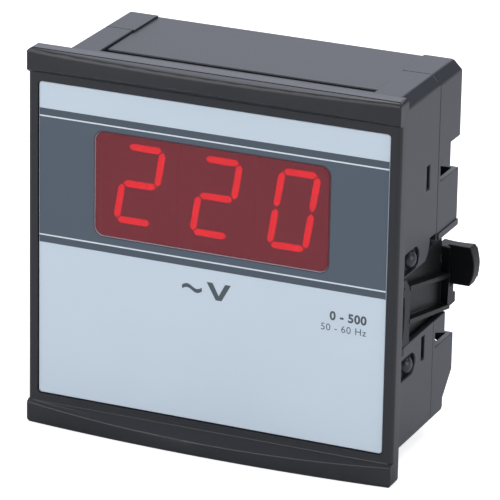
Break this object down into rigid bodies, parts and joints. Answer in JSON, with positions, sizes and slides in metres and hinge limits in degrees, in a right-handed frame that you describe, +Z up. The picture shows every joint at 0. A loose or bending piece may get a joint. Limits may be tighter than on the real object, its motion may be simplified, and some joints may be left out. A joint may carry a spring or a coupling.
{
  "type": "digital panel meter",
  "caption": "Square digital panel voltmeter with a bowed black bezel, red seven-segment display, sliding fixing clamps and rear cage terminals.",
  "frame": {"origin": "centre of the bezel, in the plane of its rear face, which seats on the panel", "axes": "+X to the right seen from the front, +Y into the panel, +Z up"},
  "size_m": [0.102, 0.0501, 0.096],
  "materials": {
    "bezel_black": "moulded ABS, fine satin",
    "case_black": "moulded ABS, satin",
    "clamp_black": "moulded nylon",
    "label_print": "screen-printed polycarbonate",
    "red_filter": "clear red acrylic",
    "module_black": "display module face",
    "lit_red": "lit epoxy light bar",
    "unlit_epoxy": "unlit epoxy light bar",
    "board_green": "glass-epoxy board with solder mask",
    "screw_steel": "zinc-plated steel",
    "cage_steel": "zinc-plated steel strip",
    "chip_black": "moulded epoxy",
    "connector_cream": "nylon",
    "cable_grey": "PVC ribbon",
    "core_steel": "stacked silicon steel",
    "bobbin_white": "nylon",
    "winding_tape": "polyester tape over copper wire",
    "capacitor_sleeve": "PVC sleeve",
    "film_yellow": "moulded box",
    "varistor_blue": "epoxy dip",
    "resistor_tan": "lacquer",
    "brass": "half-hard brass"
  },
  "bodies": {
    "meter": {"bezel": "bezel_black", "face_label": "label_print", "display_window": "red_filter", "front_case": "case_black", "rear_cover": "case_black", "digit_left": "module_black", "digit_middle": "module_black", "digit_right": "module_black", "lit_bars_left": "lit_red", "lit_bars_middle": "lit_red", "lit_bars_right": "lit_red", "unlit_bars": "unlit_epoxy", "display_board": "board_green", "display_board_screws": "screw_steel", "microcontroller": "chip_black", "display_connector": "connector_cream", "ribbon_cable": "cable_grey", "main_connector": "connector_cream", "main_board": "board_green", "main_board_screws": "screw_steel", "transformer_core": "core_steel", "transformer_bobbin": "bobbin_white", "transformer_winding": "winding_tape", "filter_capacitor": "capacitor_sleeve", "film_capacitor": "film_yellow", "bridge_rectifier": "chip_black", "voltage_regulator": "chip_black", "varistor": "varistor_blue", "input_resistors": "resistor_tan", "trimmer_body": "varistor_blue", "terminal_busbar_1": "brass", "terminal_busbar_2": "brass", "terminal_busbar_3": "brass", "terminal_busbar_4": "brass"},
    "clamp_right": {"fixing_clamp_right": "clamp_black"},
    "clamp_left": {"fixing_clamp_left": "clamp_black"},
    "trimmer": {"trimmer_rotor": "bobbin_white"},
    "screw_1": {"terminal_screw_1": "screw_steel"},
    "cage_1": {"terminal_cage_1": "cage_steel"},
    "screw_2": {"terminal_screw_2": "screw_steel"},
    "cage_2": {"terminal_cage_2": "cage_steel"},
    "screw_3": {"terminal_screw_3": "screw_steel"},
    "cage_3": {"terminal_cage_3": "cage_steel"},
    "screw_4": {"terminal_screw_4": "screw_steel"},
    "cage_4": {"terminal_cage_4": "cage_steel"}
  },
  "joints": [
    {"name": "clamp_right_slide", "type": "slide", "parent": "meter", "child": "clamp_right", "axis": [0, 1, 0], "range_m": [-0.001, 0.006]},
    {"name": "clamp_left_slide", "type": "slide", "parent": "meter", "child": "clamp_left", "axis": [0, 1, 0], "range_m": [-0.001, 0.006]},
    {"name": "trimmer_turn", "type": "hinge", "parent": "meter", "child": "trimmer", "pos_m": [0.006, 0.0283, 0.002], "axis": [0, -1, 0], "range_deg": [-130, 130]},
    {"name": "screw_1_turn", "type": "hinge", "parent": "meter", "child": "screw_1", "pos_m": [0.0395, 0.0372, 0.0105], "axis": [0, -1, 0], "range_deg": [0, 1440]},
    {"name": "cage_1_rise", "type": "slide", "parent": "meter", "child": "cage_1", "axis": [0, 1, 0], "range_m": [0, 0.0024]},
    {"name": "screw_2_turn", "type": "hinge", "parent": "meter", "child": "screw_2", "pos_m": [0.0395, 0.0372, -0.0296], "axis": [0, -1, 0], "range_deg": [0, 1440]},
    {"name": "cage_2_rise", "type": "slide", "parent": "meter", "child": "cage_2", "axis": [0, 1, 0], "range_m": [0, 0.0024]},
    {"name": "screw_3_turn", "type": "hinge", "parent": "meter", "child": "screw_3", "pos_m": [-0.0395, 0.0372, 0.0105], "axis": [0, -1, 0], "range_deg": [0, 1440]},
    {"name": "cage_3_rise", "type": "slide", "parent": "meter", "child": "cage_3", "axis": [0, 1, 0], "range_m": [0, 0.0024]},
    {"name": "screw_4_turn", "type": "hinge", "parent": "meter", "child": "screw_4", "pos_m": [-0.0395, 0.0372, -0.0296], "axis": [0, -1, 0], "range_deg": [0, 1440]},
    {"name": "cage_4_rise", "type": "slide", "parent": "meter", "child": "cage_4", "axis": [0, 1, 0], "range_m": [0, 0.0024]}
  ],
  "couplings": [
    {"joint": "screw_1_turn", "follows": "cage_1_rise", "rad_per_m": 10472},
    {"joint": "screw_2_turn", "follows": "cage_2_rise", "rad_per_m": 10472},
    {"joint": "screw_3_turn", "follows": "cage_3_rise", "rad_per_m": 10472},
    {"joint": "screw_4_turn", "follows": "cage_4_rise", "rad_per_m": 10472}
  ]
}
